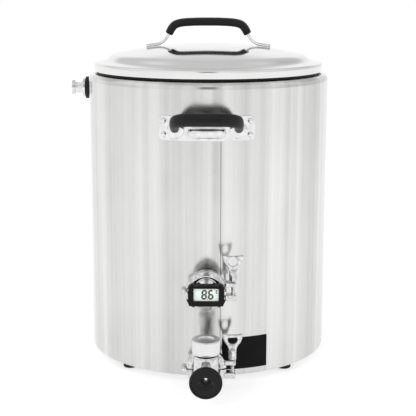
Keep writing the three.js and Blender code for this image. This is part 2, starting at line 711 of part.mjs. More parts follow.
// A perforated plate with a turned-down edge and, in the middle, a low knob to lift it by.
function falseBottom() {
  const [neck, knob] = [7, 17];
  const profile = [
    [0, 108], [knob - 2, 108], [knob, 104], [knob - 2, 100], [neck, 98], [neck, PLATE_TOP],
    [FALSE_R, PLATE_TOP], [FALSE_R, 85], [FALSE_R - SHELL_T, 85],
    [FALSE_R - SHELL_T, PLATE_TOP - SHELL_T], [0, PLATE_TOP - SHELL_T],
  ];
  const holes = [[6, 50], [10, 95], [12, 140]].flatMap(([count, radius]) =>
    Array.from({ length: count }, (_, i) =>
      rod(3, 80, 100, 6).translate(radius, 0, 0).rotateZ((2 * Math.PI * i) / count)),
  );
  return cut(revolve(profile, BIG), ...holes);
}

function falseBottomSeal() {
  return tube(FALSE_R - 6, FALSE_R + 1.5, 80.6, 84.7, BIG);
}

// ---------------------------------------------------------------- assembly
export default group(
  part("outer_shell", outerShell(), brushed()),
  part("inner_vessel", innerVessel(), brushed()),
  part("wall_insulation", wallInsulation(), foam()),
  part("base_insulation", baseInsulation(), foam()),
  part("base_cover", baseCover(), brushed()),
  part("drain_pipe", drainPipe(), brushed()),
  part("badge_plate", badgePlate(), plastic()),
  ...FEET.map(([where, azimuth]) => foot(where, azimuth)),
  sideHandle("front", FRONT),
  sideHandle("rear", REAR),
  sideInlet(),
  thermometer(),
  valve(),
  part("false_bottom", falseBottom(), brushed()),
  part("false_bottom_seal", falseBottomSeal(), rubber()),
  lid(),
);
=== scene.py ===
# The brew kettle's looks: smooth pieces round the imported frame, their materials, and the studio.
# Lengths are in millimetres until a piece is finished, and in metres from then on.
import math

import bmesh
import bpy
from mathutils import Matrix, Vector


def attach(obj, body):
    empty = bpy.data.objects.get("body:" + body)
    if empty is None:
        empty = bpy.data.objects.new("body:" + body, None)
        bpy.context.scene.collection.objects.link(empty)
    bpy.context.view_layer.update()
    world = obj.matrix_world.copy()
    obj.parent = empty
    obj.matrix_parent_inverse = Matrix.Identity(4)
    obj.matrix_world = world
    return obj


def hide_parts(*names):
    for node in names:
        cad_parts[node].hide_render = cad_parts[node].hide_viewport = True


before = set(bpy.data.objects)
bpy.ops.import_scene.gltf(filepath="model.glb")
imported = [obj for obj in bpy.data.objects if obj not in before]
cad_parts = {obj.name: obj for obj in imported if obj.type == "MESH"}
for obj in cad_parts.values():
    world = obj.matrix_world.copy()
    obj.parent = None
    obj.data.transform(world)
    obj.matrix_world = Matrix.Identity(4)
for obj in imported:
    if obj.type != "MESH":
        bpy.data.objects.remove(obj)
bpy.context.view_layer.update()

MM = 0.001
rad = math.radians

# ---------------------------------------------------------------- dimensions, as in the frame
SHELL_R = 210.0
FOOT_H = 12.0
RIM_Z = 500.0
INNER_R = 190.0
CLAMP_D = 37.0
FLANGE_R = 25.25
DRAIN_Z = 41.0
DRAIN_PIPE_R = 12.7
DRAIN_BORE_R = 11.05
THERMO_Z = 172.0
THERMO_TUBE_R = 19.05
PORT_Z = 472.0
HANDLE_Z = 425.0
HANDLE_TILT = 20.0
HANDLE_REACH = 68.0
HANDLE_HALF = 50.5
LID_Z = 504.2
LID_R = 200.5
LID_T = 1.2
LID_TOP_Z = 550.0
DOME_R = 752.0
DOME_EDGE_R = 168.0
VALVE_D = 70.0
BOLT_X = 42.5
PIVOT_Y = -11.5
FRONT, REAR, LEFT = 0.0, 180.0, -90.0


# ---------------------------------------------------------------- profiles and paths
def arc(x, y, radius, start, end, steps):
    angles = [rad(start + (end - start) * i / steps) for i in range(steps + 1)]
    return [(x + radius * math.cos(a), y + radius * math.sin(a)) for a in angles]


def soften(points, radius=0.5, steps=4, closed=False):
    """Rounds each corner of a line of points; a third number is that corner's own radius."""
    out = []
    for i, point in enumerate(points):
        p = Vector(point[:2])
        if not closed and i in (0, len(points) - 1):
            out.append(tuple(p))
            continue
        before = Vector(points[i - 1][:2]) - p
        after = Vector(points[(i + 1) % len(points)][:2]) - p
        want = point[2] if len(point) > 2 else radius
        reach = min(want, 0.46 * before.length, 0.46 * after.length)
        if reach < 1e-3:
            out.append(tuple(p))
            continue
        a, b = p + before.normalized() * reach, p + after.normalized() * reach
        for k in range(steps + 1):
            u = k / steps
            out.append(tuple((1 - u) ** 2 * a + 2 * u * (1 - u) * p + u * u * b))
    return out


def spline(points, count):
    """Evenly spaced points on a smooth curve through the given ones."""
    pts = [Vector(p) for p in points]
    ends = [2 * pts[0] - pts[1], 2 * pts[-1] - pts[-2]]
    ctrl = [ends[0], *pts, ends[1]]
    dense = []
    for i in range(1, len(ctrl) - 2):
        a, b, c, d = ctrl[i - 1 : i + 3]
        for k in range(24):
            t = k / 24
            square = (2 * a - 5 * b + 4 * c - d) * t * t
            cube = (3 * b - a - 3 * c + d) * t**3
            dense.append(0.5 * (2 * b + (c - a) * t + square + cube))
    dense.append(pts[-1])
    run = [0.0]
    for a, b in zip(dense, dense[1:]):
        run.append(run[-1] + (b - a).length)
    out, j = [], 0
    for i in range(count + 1):
        want = run[-1] * i / count
        while j < len(run) - 2 and run[j + 1] < want:
            j += 1
        span = run[j + 1] - run[j] or 1.0
        out.append(dense[j].lerp(dense[j + 1], (want - run[j]) / span))
    return out


# ---------------------------------------------------------------- mesh shapes
def lathe(bm, profile, segments=96, matrix=None, start=0.0, turn=360.0):
    """Turns (radius, height) points about Z into a closed shell, all round or part of the way."""
    full = turn >= 360.0
    count = segments if full else segments + 1
    angles = [rad(start + turn * i / segments) for i in range(count)]
    rings = []
    for r, z in profile:
        if r < 1e-5:
            rings.append([bm.verts.new((0.0, 0.0, z))])
        else:
            rings.append([bm.verts.new((r * math.cos(a), r * math.sin(a), z)) for a in angles])
    loops = list(zip(rings, rings[1:]))
    if profile[0][0] > 1e-5 or profile[-1][0] > 1e-5:
        loops.append((rings[-1], rings[0]))
    for low, high in loops:
        for i in range(segments):
            j = (i + 1) % count
            under, over = (low[i % len(low)], low[j % len(low)]), (high[j % len(high)], high[i % len(high)])
            corners = list(dict.fromkeys(under + over))
            if len(corners) > 2:
                bm.faces.new(corners)
    if not full:
        for i in (0, count - 1):
            bm.faces.new(list(dict.fromkeys(ring[i % len(ring)] for ring in rings)))
    made = [v for ring in rings for v in ring]
    if matrix:
        bmesh.ops.transform(bm, matrix=matrix, verts=made)
    return made


def sweep(bm, section, path, normal, scales=None, matrix=None):
    """Carries a closed section along a path that lies in the plane with that normal."""
    side = Vector(normal).normalized()
    rings = []
    for i, p in enumerate(path):
        tangent = (path[min(i + 1, len(path) - 1)] - path[max(i - 1, 0)]).normalized()
        inward = side.cross(tangent).normalized()
        s = scales[i] if scales else 1.0
        rings.append([bm.verts.new(p + inward * u * s + side * v * s) for u, v in section])
    for low, high in zip(rings, rings[1:]):
        for i in range(len(section)):
            j = (i + 1) % len(section)
            bm.faces.new((low[i], low[j], high[j], high[i]))
    bm.faces.new(rings[0])
    bm.faces.new(rings[-1])
    made = [v for ring in rings for v in ring]
    if matrix:
        bmesh.ops.transform(bm, matrix=matrix, verts=made)
    return made


def plate(bm, outline, holes, low, high, bevel, matrix=None):
    """A flat plate of that outline, from low to high along Z, its edges rounded off."""
    curve = bpy.data.curves.new("outline", "CURVE")
    curve.dimensions, curve.fill_mode = "2D", "BOTH"
    for points, grow in [(outline, -bevel)] + [(h, bevel) for h in holes]:
        points = inset(points, grow)
        line = curve.splines.new("POLY")
        line.points.add(len(points) - 1)
        for knot, (x, y) in zip(line.points, points):
            knot.co = (x, y, 0.0, 1.0)
        line.use_cyclic_u = True
    curve.extrude = (high - low) / 2 - bevel
    curve.bevel_depth, curve.bevel_resolution = bevel, 2
    carrier = bpy.data.objects.new("outline", curve)
    mesh = bpy.data.meshes.new_from_object(carrier)
    before = set(bm.verts)
    bm.from_mesh(mesh)
    made = [v for v in bm.verts if v not in before]
    move = Matrix.Translation((0, 0, (high + low) / 2))
    bmesh.ops.transform(bm, matrix=(matrix or Matrix()) @ move, verts=made)
    bpy.data.objects.remove(carrier)
    bpy.data.curves.remove(curve)
    bpy.data.meshes.remove(mesh)
    bmesh.ops.remove_doubles(bm, verts=made, dist=1e-4)
    return [v for v in made if v.is_valid]


def inset(points, grow):
    """Moves each point of a counter-clockwise outline outward by `grow`."""
    out = []
    for i, (x, y) in enumerate(points):
        a = Vector((x, y)) - Vector(points[i - 1])
        b = Vector(points[(i + 1) % len(points)]) - Vector((x, y))
        n = Vector((a.y, -a.x)).normalized() + Vector((b.y, -b.x)).normalized()
        n = n.normalized() if n.length > 1e-6 else Vector((0.0, 0.0))
        out.append((x + n.x * grow, y + n.y * grow))
    return out


def block(bm, lows, highs, bevel=0.6, steps=3, matrix=None):
    made = bmesh.ops.create_cube(bm, size=1.0)["verts"]
    size = [h - l for l, h in zip(lows, highs)]
    centre = [(h + l) / 2 for l, h in zip(lows, highs)]
    move = Matrix.Translation(centre) @ Matrix.Diagonal((*size, 1.0))
    bmesh.ops.transform(bm, matrix=move, verts=made)
    edges = list({e for v in made for e in v.link_edges})
    done = bmesh.ops.bevel(bm, geom=made + edges, offset=bevel, segments=steps, affect="EDGES", profile=0.5)
    made = list({v for f in done["faces"] for v in f.verts} | {v for v in made if v.is_valid})
    if matrix:
        bmesh.ops.transform(bm, matrix=matrix, verts=made)
    return made


def rounded_rectangle(width, height, radius, steps=8):
    w, h = width / 2 - radius, height / 2 - radius
    corners = [(w, h, 0), (-w, h, 90), (-w, -h, 180), (w, -h, 270)]
    return [p for x, y, a in corners for p in arc(x, y, radius, a, a + 90, steps)]


def circle(x, y, radius, sides=48):
    return arc(x, y, radius, 0, 360 - 360 / sides, sides - 1)


def station(azimuth, height):
    """A place on the wall: Z points outward from the shell, Y up, X sideways."""
    around = Matrix.Rotation(rad(azimuth), 4, "Z")
    return around @ Matrix.Translation((0, -SHELL_R, height)) @ Matrix.Rotation(rad(90), 4, "X")


UPRIGHT = Matrix.Rotation(rad(-90), 4, "X")  # turns a lathe's axis from Z to Y


def cast(bm, voxel, smooth):
    """Fuses overlapping shells into one skin with softened corners, as in an investment casting."""
    bmesh.ops.recalc_face_normals(bm, faces=bm.faces)
    mesh = bpy.data.meshes.new("shells")
    bm.to_mesh(mesh)
    bm.free()
    carrier = bpy.data.objects.new("shells", mesh)
    bpy.context.scene.collection.objects.link(carrier)
    remesh = carrier.modifiers.new("Remesh", "REMESH")
    remesh.mode, remesh.voxel_size = "VOXEL", voxel
    relax = carrier.modifiers.new("Smooth", "SMOOTH")
    relax.factor, relax.iterations = 0.5, smooth
    graph = bpy.context.evaluated_depsgraph_get()
    fused = bpy.data.meshes.new_from_object(carrier.evaluated_get(graph))
    out = bmesh.new()
    out.from_mesh(fused)
    bpy.data.objects.remove(carrier)
    bpy.data.meshes.remove(mesh)
    bpy.data.meshes.remove(fused)
    return out


def piece(name, bm, material, body, nodes, sharp=40, weighted=True):
    """Finishes a mesh built in millimetres as a piece that rides on a body."""
    bmesh.ops.remove_doubles(bm, verts=bm.verts, dist=1e-4)
    bmesh.ops.recalc_face_normals(bm, faces=bm.faces)
    bmesh.ops.scale(bm, vec=(MM,) * 3, verts=bm.verts)
    for face in bm.faces:
        face.smooth = True
    for edge in bm.edges:
        if len(edge.link_faces) == 2 and edge.calc_face_angle(0.0) > rad(sharp):
            edge.smooth = False
    mesh = bpy.data.meshes.new(name)
    bm.to_mesh(mesh)
    bm.free()
    mesh.materials.append(material)
    made = bpy.data.objects.new(name, mesh)
    bpy.context.scene.collection.objects.link(made)
    if weighted:
        normals = made.modifiers.new("Normals", "WEIGHTED_NORMAL")
        normals.keep_sharp = True
    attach(made, body)
    if nodes:
        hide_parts(*nodes)
    return made


def turned(name, profile, material, body, nodes, place=None, segments=96, sharp=40):
    bm = bmesh.new()
    lathe(bm, profile, segments, place)
    return piece(name, bm, material, body, nodes, sharp)


# ---------------------------------------------------------------- materials
class Shader:
    """A small builder for one procedural material."""

    def __init__(self, name):
        self.material = bpy.data.materials.new(name)
        self.material.use_nodes = True
        self.nodes = self.material.node_tree.nodes
        self.links = self.material.node_tree.links
        self.bsdf = self.nodes["Principled BSDF"]
        self.coord = self.nodes.new("ShaderNodeTexCoord").outputs["Object"]

    def set(self, name, value):
        self.bsdf.inputs[name].default_value = value
        return self

    def link(self, source, name):
        self.links.new(source, self.bsdf.inputs[name])
        return self

    def node(self, kind, inputs=(), **fields):
        made = self.nodes.new(kind)
        for key, value in fields.items():
            setattr(made, key, value)
        for key, value in dict(inputs).items():
            if isinstance(value, bpy.types.NodeSocket):
                self.links.new(value, made.inputs[key])
            else:
                made.inputs[key].default_value = value
        return made

    def noise(self, stretch, detail=3.0, roughness=0.55, source=None):
        mapping = self.node("ShaderNodeMapping", {"Vector": source or self.coord, "Scale": stretch})
        made = self.node(
            "ShaderNodeTexNoise",
            {"Vector": mapping.outputs[0], "Scale": 1.0, "Detail": detail, "Roughness": roughness},
        )
        return made.outputs["Fac"]

    def span(self, source, low, high, start=0.3, end=0.7):
        made = self.node(
            "ShaderNodeMapRange",
            {"Value": source, "From Min": start, "From Max": end, "To Min": low, "To Max": high},
        )
        return made.outputs["Result"]

    def mix(self, factor, a, b):
        made = self.node("ShaderNodeMix", data_type="RGBA")
        for key, value in (("Factor", factor), ("A", a), ("B", b)):
            fitting = (s for s in made.inputs if s.name == key and s.enabled)
            socket = next(s for s in fitting if s.type in ("RGBA", "VALUE"))
            if isinstance(value, bpy.types.NodeSocket):
                self.links.new(value, socket)
            else:
                socket.default_value = value
        return next(s for s in made.outputs if s.type == "RGBA")

    def math(self, operation, a, b=0.0):
        made = self.node("ShaderNodeMath", operation=operation)
        for i, value in enumerate((a, b)):
            if isinstance(value, bpy.types.NodeSocket):
                self.links.new(value, made.inputs[i])
            else:
                made.inputs[i].default_value = value
        return made.outputs[0]

    def bump(self, height, distance, strength=1.0, below=None):
        made = self.node("ShaderNodeBump", {"Height": height, "Strength": strength, "Distance": distance})
        if below:
            self.links.new(below, made.inputs["Normal"])
        self.links.new(made.outputs[0], self.bsdf.inputs["Normal"])
        return made.outputs[0]

    def radius(self):
        parts = self.node("ShaderNodeSeparateXYZ", {"Vector": self.coord})
        x, y = parts.outputs["X"], parts.outputs["Y"]
        return self.math("SQRT", self.math("ADD", self.math("MULTIPLY", x, x), self.math("MULTIPLY", y, y)))

    def tangent(self, axis="Z"):
        made = self.node("ShaderNodeTangent", direction_type="RADIAL", axis=axis)
        return self.link(made.outputs[0], "Tangent")


def grey(value, warm=0.0):
    return (value + warm, value, value - warm, 1.0)


def sheet_steel(
    name, light, dark, roughness, streak, wave, grain, anisotropy=0.0, rotation=0.0, seam=None,
):
    """Polished sheet: long upright streaks, a slight waviness, and fine grain running round it."""
    s = Shader(name)
    s.set("Metallic", 1.0).set("Anisotropic", anisotropy).set("Anisotropic Rotation", rotation)
    if anisotropy:
        s.tangent()
    broad = s.noise((streak, streak, streak * 0.012), 2.0, 0.5)
    narrow = s.noise((streak * 4.2, streak * 4.2, streak * 0.03), 3.0, 0.6)
    both = s.math("ADD", s.math("MULTIPLY", broad, 0.72), s.math("MULTIPLY", narrow, 0.28))
    cloud = s.noise((9.0, 9.0, 6.0), 4.0, 0.6)
    tone = s.mix(s.span(both, 0.0, 1.0, 0.36, 0.64), dark, light)
    tone = s.mix(s.span(cloud, 0.0, 0.35), tone, light)
    if seam:
        # the upright weld where the sheet's two edges meet, dressed flush
        parts = s.node("ShaderNodeSeparateXYZ", {"Vector": s.coord})
        off = s.math("ABSOLUTE", s.math("SUBTRACT", parts.outputs["X"], seam))
        line = s.span(off, 1.0, 0.0, 0.0002, 0.0012)
        line = s.math("MULTIPLY", line, s.span(parts.outputs["Y"], 0.7, 0.0, -0.1, -0.05))
        line = s.math("MULTIPLY", line, s.span(parts.outputs["Z"], 1.0, 0.15, 0.40, 0.43))
        tone = s.mix(line, tone, grey(0.12))
    s.link(tone, "Base Color")
    fine = s.noise((60.0, 60.0, 2600.0), 2.0, 0.5)
    rough = s.math("ADD", s.span(both, roughness * 1.25, roughness * 0.8), s.span(fine, -0.02, 0.02))
    s.link(rough, "Roughness")
    waves = s.noise((wave, wave, wave * 0.02), 1.0, 0.4)
    first = s.bump(waves, 0.0012, 0.55)
    s.bump(fine, 0.00004, grain, first)
    return s.material


def spun_steel(name, light, dark, roughness, anisotropy, wave_depth=0.0):
    """Steel finished on a lathe: fine rings about its own upright axis."""
    s = Shader(name)
    s.set("Metallic", 1.0).set("Anisotropic", anisotropy)
    s.tangent()
    rings = s.node("ShaderNodeCombineXYZ", {"X": s.radius()}).outputs[0]
    fine = s.noise((900.0, 1.0, 1.0), 3.0, 0.6, rings)
    broad = s.noise((26.0, 1.0, 1.0), 2.0, 0.5, rings)
    cloud = s.noise((7.0, 7.0, 7.0), 3.0, 0.5)
    both = s.math("ADD", s.math("MULTIPLY", broad, 0.5), s.math("MULTIPLY", cloud, 0.5))
    tone = s.mix(s.span(both, 0.0, 1.0), dark, light)
    s.link(tone, "Base Color")
    s.link(s.span(fine, roughness * 0.85, roughness * 1.2), "Roughness")
    first = s.bump(fine, 0.00003, 0.35)
    if wave_depth:
        s.bump(cloud, wave_depth, 0.5, first)
    return s.material


def fitting_steel(name, light, dark, roughness, scale=160.0, bump=0.00005):
    """Cast or machined steel, polished: small unevenness and faint wipe marks."""
    s = Shader(name)
    s.set("Metallic", 1.0)
    uneven = s.noise((scale, scale, scale), 3.0, 0.55)
    marks = s.noise((scale * 5, scale * 0.6, scale * 5), 2.0, 0.5)
    s.link(s.mix(s.span(uneven, 0.0, 1.0), dark, light), "Base Color")
    s.link(s.span(marks, roughness * 0.75, roughness * 1.35), "Roughness")
    s.bump(uneven, bump, 0.5)
    return s.material


def moulded(name, low, high, roughness, grain=1800.0, depth=0.00008, specular=0.5):
    """Moulded rubber or plastic: a fine pebbled skin with a slight change of tone."""
    s = Shader(name)
    s.set("Specular IOR Level", specular)
    pebble = s.noise((grain, grain, grain), 2.0, 0.5)
    cloud = s.noise((40.0, 40.0, 40.0), 3.0, 0.6)
    s.link(s.mix(s.span(cloud, 0.0, 1.0), low, high), "Base Color")
    s.link(s.span(cloud, roughness * 0.88, roughness * 1.12), "Roughness")
    s.bump(pebble, depth, 0.6)
    return s.material


def foam_material():
    s = Shader("rigid_foam")
    cells = s.node("ShaderNodeTexVoronoi", {"Vector": s.coord, "Scale": 420.0}).outputs["Distance"]
    wall, hollow = (0.72, 0.62, 0.36, 1), (0.86, 0.78, 0.52, 1)
    s.link(s.mix(s.span(cells, 0.0, 1.0, 0.0, 0.8), wall, hollow), "Base Color")
    s.set("Roughness", 0.9)
    s.bump(cells, 0.0004, 0.6)
    return s.material


def display_material():
    s = Shader("liquid_crystal_panel")
    tint = s.noise((90.0, 90.0, 90.0), 2.0, 0.5)
    s.link(s.mix(s.span(tint, 0.0, 1.0), (0.84, 0.94, 0.87, 1), (0.90, 0.98, 0.92, 1)), "Base Color")
    s.set("Roughness", 0.45)
    return s.material


def lens_material():
    s = Shader("clear_window")
    haze = s.noise((60.0, 60.0, 60.0), 3.0, 0.6)
    s.set("Base Color", (0.95, 1.0, 0.97, 1.0)).set("Alpha", 0.05).set("IOR", 1.46)
    s.link(s.span(haze, 0.03, 0.09), "Roughness")
    return s.material


SEAM_X = 0.0225
SHELL = sheet_steel(
    "brushed_shell_steel", grey(0.75, 0.004), grey(0.50, 0.002), 0.15, 22.0, 17.0, 0.35, 0.5, 0.25, SEAM_X,
)
INSIDE = sheet_steel("inner_vessel_steel", grey(0.80), grey(0.66), 0.30, 18.0, 8.0, 0.35, 0.4, 0.25)
BASE = spun_steel("base_steel", grey(0.74), grey(0.62), 0.36, 0.3)
LID = spun_steel("spun_lid_steel", grey(0.86, 0.003), grey(0.68, 0.002), 0.085, 0.2, 0.0006)
PAN = spun_steel("lid_pan_steel", grey(0.80), grey(0.68), 0.30, 0.4)
KNOB = spun_steel("turned_knob_steel", grey(0.80), grey(0.70), 0.22, 0.5)
FITTING = fitting_steel("satin_fitting_steel", grey(0.80), grey(0.54), 0.14)
POLISHED = fitting_steel("polished_steel", grey(0.82), grey(0.66), 0.10, 120.0, 0.00003)
CLAMP = fitting_steel("polished_cast_steel", grey(0.80), grey(0.44), 0.09, 220.0, 0.00012)
HANDLE = fitting_steel("polished_handle_steel", grey(0.84), grey(0.64), 0.12, 90.0, 0.00005)
FASTENER = fitting_steel("fastener_steel", grey(0.84), grey(0.64), 0.12, 300.0, 0.00005)
GRIP = moulded("black_grip_silicone", grey(0.003), grey(0.006), 0.42, specular=0.28)
SILICONE = moulded("black_seal_silicone", grey(0.003), grey(0.006), 0.5, 900.0, specular=0.3)
FOOT = moulded("black_foot_rubber", grey(0.004), grey(0.008), 0.6, 700.0, specular=0.3)
CASE = moulded("black_case_plastic", grey(0.002), grey(0.004), 0.4, 2600.0, 0.00006, 0.18)
OUTLET = moulded("glossy_black_plastic", grey(0.004), grey(0.007), 0.16, 500.0, 0.00002, 0.22)
BADGE = moulded("badge_plastic", grey(0.002), grey(0.004), 0.36, 1500.0, 0.00003, 0.10)
# painted shade: the valve seats are coloured near black so that the outlet bore reads dark deep inside
SEAT_PAINTED_SHADE = moulded("seat_plastic_painted_bore_shade", grey(0.02), grey(0.03), 0.5, 300.0, specular=0.2)
FOAM = foam_material()
PANEL = display_material()
WINDOW = lens_material()
INK = moulded("display_segment_ink", grey(0.001), grey(0.002), 0.6, 400.0, 0.00001, 0.05)
# painted shade: the valve ball's steel is coloured near black to stand in for the darkness deep inside the
# outlet bore
BALL_PAINTED_SHADE = fitting_steel("valve_ball_painted_bore_shade", grey(0.03), grey(0.02), 0.6)


# ---------------------------------------------------------------- vessel
def vessel():
    shoulder, hem = 12.0, 4.0
    profile = [
        (INNER_R + 1.8, RIM_Z),
        *arc(SHELL_R - shoulder, RIM_Z - shoulder, shoulder, 90, 0, 14),
        *arc(SHELL_R - hem, FOOT_H + hem, hem, 0, -90, 8),
        (SHELL_R - 8, FOOT_H),
        (SHELL_R - 8, FOOT_H + 1.5),
        (SHELL_R - hem, FOOT_H + 1.5),
        (SHELL_R - 1.5, FOOT_H + hem),
        *arc(SHELL_R - shoulder, RIM_Z - shoulder, shoulder - 1.5, 0, 90, 8),
        (INNER_R + 1.8, RIM_Z - 1.5),
    ]
    turned("shell", profile, SHELL, "vessel", ["outer_shell"], segments=240)

    floor = [
        (INNER_R, RIM_Z),
        *arc(178, 90, 12, 0, -90, 10),
        (DRAIN_BORE_R + 3, 66.6),
        (DRAIN_BORE_R, 64.6),
        *arc(178, 90, 13.4, -90, 0, 10),
        (INNER_R + 1.4, RIM_Z),
    ]
    turned("inner_vessel_wall", floor, INSIDE, "vessel", ["inner_vessel"], segments=200)
    disc = soften([(0, 12), (201.6, 12), (201.6, 13.5), (0, 13.5)], 0.4)
    turned("base_disc", disc, BASE, "vessel", ["base_cover"], segments=160)

    feet = (("front_right", 46), ("rear_right", 134), ("rear_left", 226), ("front_left", 314))
    for where, azimuth in feet:
        profile = soften([(0, 0), (12, 0, 1.6), (13, 11.7, 1.0), (4.6, 11.7), (4.6, 16.5), (0, 16.5)], 0.4)
        spot = Matrix.Rotation(rad(azimuth), 4, "Z") @ Matrix.Translation((0, -185, 0))
        turned("foot_pad_" + where, profile, FOOT, "vessel", ["foot_" + where], spot, 48)

    bm = bmesh.new()
    low, high, start, end, steps = 23.5, 78.0, 7.0, 28.4, 28
    inner, outer = SHELL_R + 0.3, SHELL_R + 1.0
    grid = []
    for i in range(steps + 1):
        angle = rad(start + (end - start) * i / steps)
        x, y = math.sin(angle), -math.cos(angle)
        corners = ((inner, low), (outer, low), (outer, high), (inner, high))
        grid.append([bm.verts.new((x * r, y * r, z)) for r, z in corners])
    for a, b in zip(grid, grid[1:]):
        for k in range(4):
            bm.faces.new((a[k], b[k], b[(k + 1) % 4], a[(k + 1) % 4]))
    bm.faces.new(grid[0])
    bm.faces.new(grid[-1])
    piece("badge", bm, BADGE, "vessel", ["badge_plate"])


# ---------------------------------------------------------------- side handles
def oval(width, height, fullness=0.8, sides=28):
    points = []
    for i in range(sides):
        a = 2 * math.pi * i / sides
        c, s = math.cos(a), math.sin(a)
        x = math.copysign(abs(c) ** fullness, c) * width / 2
        y = math.copysign(abs(s) ** fullness, s) * height / 2
        points.append((x, y))
    return points


def cut_path(path, start, end):
    count = len(path) - 1
    return path[round(count * start) : round(count * end) + 1]


def round_ends(path, length):
    """Scale factors that dome both ends of a sweep."""
    run = [0.0]
    for a, b in zip(path, path[1:]):
        run.append(run[-1] + (b - a).length)
    out = []
    for s in run:
        near = min(s, run[-1] - s) / length
        out.append(0.80 + 0.20 * math.sqrt(1 - (1 - min(near, 1.0)) ** 2))
    return out


def bend_round(verts):
    """Wraps a flat plate that lies in the XZ plane round the shell."""
    for v in verts:
        turn, out = v.co.x / SHELL_R, SHELL_R + v.co.y
        v.co = Vector((out * math.sin(turn), -out * math.cos(turn), v.co.z))


def on_bracket(x, z):
    """The point that lies x along the bracket's middle layer, at height z."""
    middle = SHELL_R + 1.5
    return Vector((middle * math.sin(x / middle), -middle * math.cos(x / middle), z))


def side_handle(prefix, azimuth):
    around = Matrix.Rotation(rad(azimuth), 4, "Z")
    bend, root = 24.0, SHELL_R - 4.0
    half = [
        (-HANDLE_HALF, 0), (-HANDLE_HALF, 16), (-HANDLE_HALF, 32),
        *arc(bend - HANDLE_HALF, HANDLE_REACH - bend, bend, 180, 90, 4), (-10, HANDLE_REACH),
    ]
    points = half + [(-x, y) for x, y in reversed(half)]
    path = spline([Vector((x, y, 0)) for x, y in points], 170)
    tilt = Matrix.Translation((0, -root, HANDLE_Z)) @ Matrix.Rotation(rad(180 - HANDLE_TILT), 4, "X")

    bm = bmesh.new()
    turn = Matrix.Rotation(rad(90), 4, "X")
    outline = rounded_rectangle(156, 40, 9)
    made = plate(bm, outline, [], 0.3, 2.8, 0.6)
    for i in range(-19, 20):
        geometry = [*bm.verts, *bm.edges, *bm.faces]
        cut_at = (i * 4.0, 0, 0)
        bmesh.ops.bisect_plane(bm, geom=geometry, plane_co=cut_at, plane_no=(1, 0, 0), dist=1e-4)
    for v in bm.verts:
        v.co = Vector((v.co.x, v.co.z, 427 + v.co.y))
    bend_round(bm.verts)

    bead_half, bead_z, bead_r, steps = 31.0, HANDLE_Z - 4.0, 10.0, 44
    bead_path, scales = [], []
    for i in range(steps + 1):
        x = bead_half * (2 * i / steps - 1)
        bead_path.append(on_bracket(x, bead_z))
        over = max(0.0, abs(x) - (bead_half - bead_r)) / bead_r
        scales.append(max(math.sqrt(max(0.0, 1 - over * over)), 0.08))
    section = [(5.0 * x, bead_r * y) for x, y in circle(0, 0, 1.0, 28)]
    sweep(bm, section, bead_path, (0, 0, 1), scales)

    for x in (-HANDLE_HALF, HANDLE_HALF):
        boss = soften([(0, 4.4), (14, 4.4), (14, 6.4, 1.4), (10, 8.9, 1.6), (0, 9.0)], 0.6)
        lathe(bm, boss, 56, Matrix.Translation((x, -root, HANDLE_Z)) @ turn)
    start = 8
    sweep(bm, circle(0, 0, 5, 28), path[start:-start], (0, 0, 1), None, tilt)
    bmesh.ops.transform(bm, matrix=around, verts=list(bm.verts))
    piece(prefix + "_handle_metalwork", bm, HANDLE, "vessel", [prefix + "_handle_bracket"])

    bm = bmesh.new()
    hold = cut_path(path, 0.09, 0.91)
    sweep(bm, oval(15, 20.6), hold, (0, 0, 1), round_ends(hold, 5.0), around @ tilt)
    piece(prefix + "_handle_hold", bm, GRIP, "vessel", [prefix + "_handle_grip"], 60)

    bolts = (
        ("upper_left", -69.5, 439), ("upper_right", 69.5, 439),
        ("lower_left", -69.5, 417), ("lower_right", 69.5, 417),
    )
    for where, x, z in bolts:
        angle = math.degrees(math.asin(x / (SHELL_R + 2.8)))
        profile = [
            (0, 0.5), (2.4, 0.5), (2.4, 3.0), (4.6, 3.0, 0.3), (4.6, 4.4, 0.6), (3.4, 6.0, 1.4), (0, 6.8),
        ]
        name = f"{prefix}_handle_bolt_{where}"
        turned("dome_" + name, soften(profile, 0.3), FASTENER, "vessel", [name],
               station(azimuth + angle, z), 40)


# ---------------------------------------------------------------- side inlet
def side_inlet():
    place = station(LEFT, PORT_Z)
    bm = bmesh.new()
    spigot = [
        (6, -28), (8.9, -28), (8.9, 6.3), (16.2, 6.3, 0.8), (16.2, 11.1, 0.9), (10.2, 11.1), (10.2, 12.6),
        (9.4, 12.8), (9.4, 24.2), (13, 24.3, 0.8), (13, 30.2, 1.0), (11.4, 30.2), (10.6, 29.0), (6, 29.0),
    ]
    lathe(bm, soften(spigot, 0.35, closed=True), 72, place)
    hexagon = [(10.6 * math.cos(rad(60 * k)), 10.6 * math.sin(rad(60 * k))) for k in range(6)]
    plate(bm, hexagon, [], 12.2, 20.4, 0.5, place)
    piece("inlet_spigot", bm, POLISHED, "vessel", ["inlet_fitting"])

    bm = bmesh.new()
    washer = soften([(9.3, -1.5), (19.3, -1.5), (19.3, 6.0, 1.2), (9.3, 6.0)], 0.4, closed=True)
    lathe(bm, washer, 64, place)
    piece("inlet_washer", bm, SILICONE, "vessel", ["inlet_gasket"])
    bm = bmesh.new()
    hexagon = [(14 * math.cos(rad(60 * k)), 14 * math.sin(rad(60 * k))) for k in range(6)]
    plate(bm, hexagon, [circle(0, 0, 9.0)], -27.4, -21.6, 0.6, place)
    piece("inlet_backnut", bm, POLISHED, "vessel", ["inlet_locknut"])


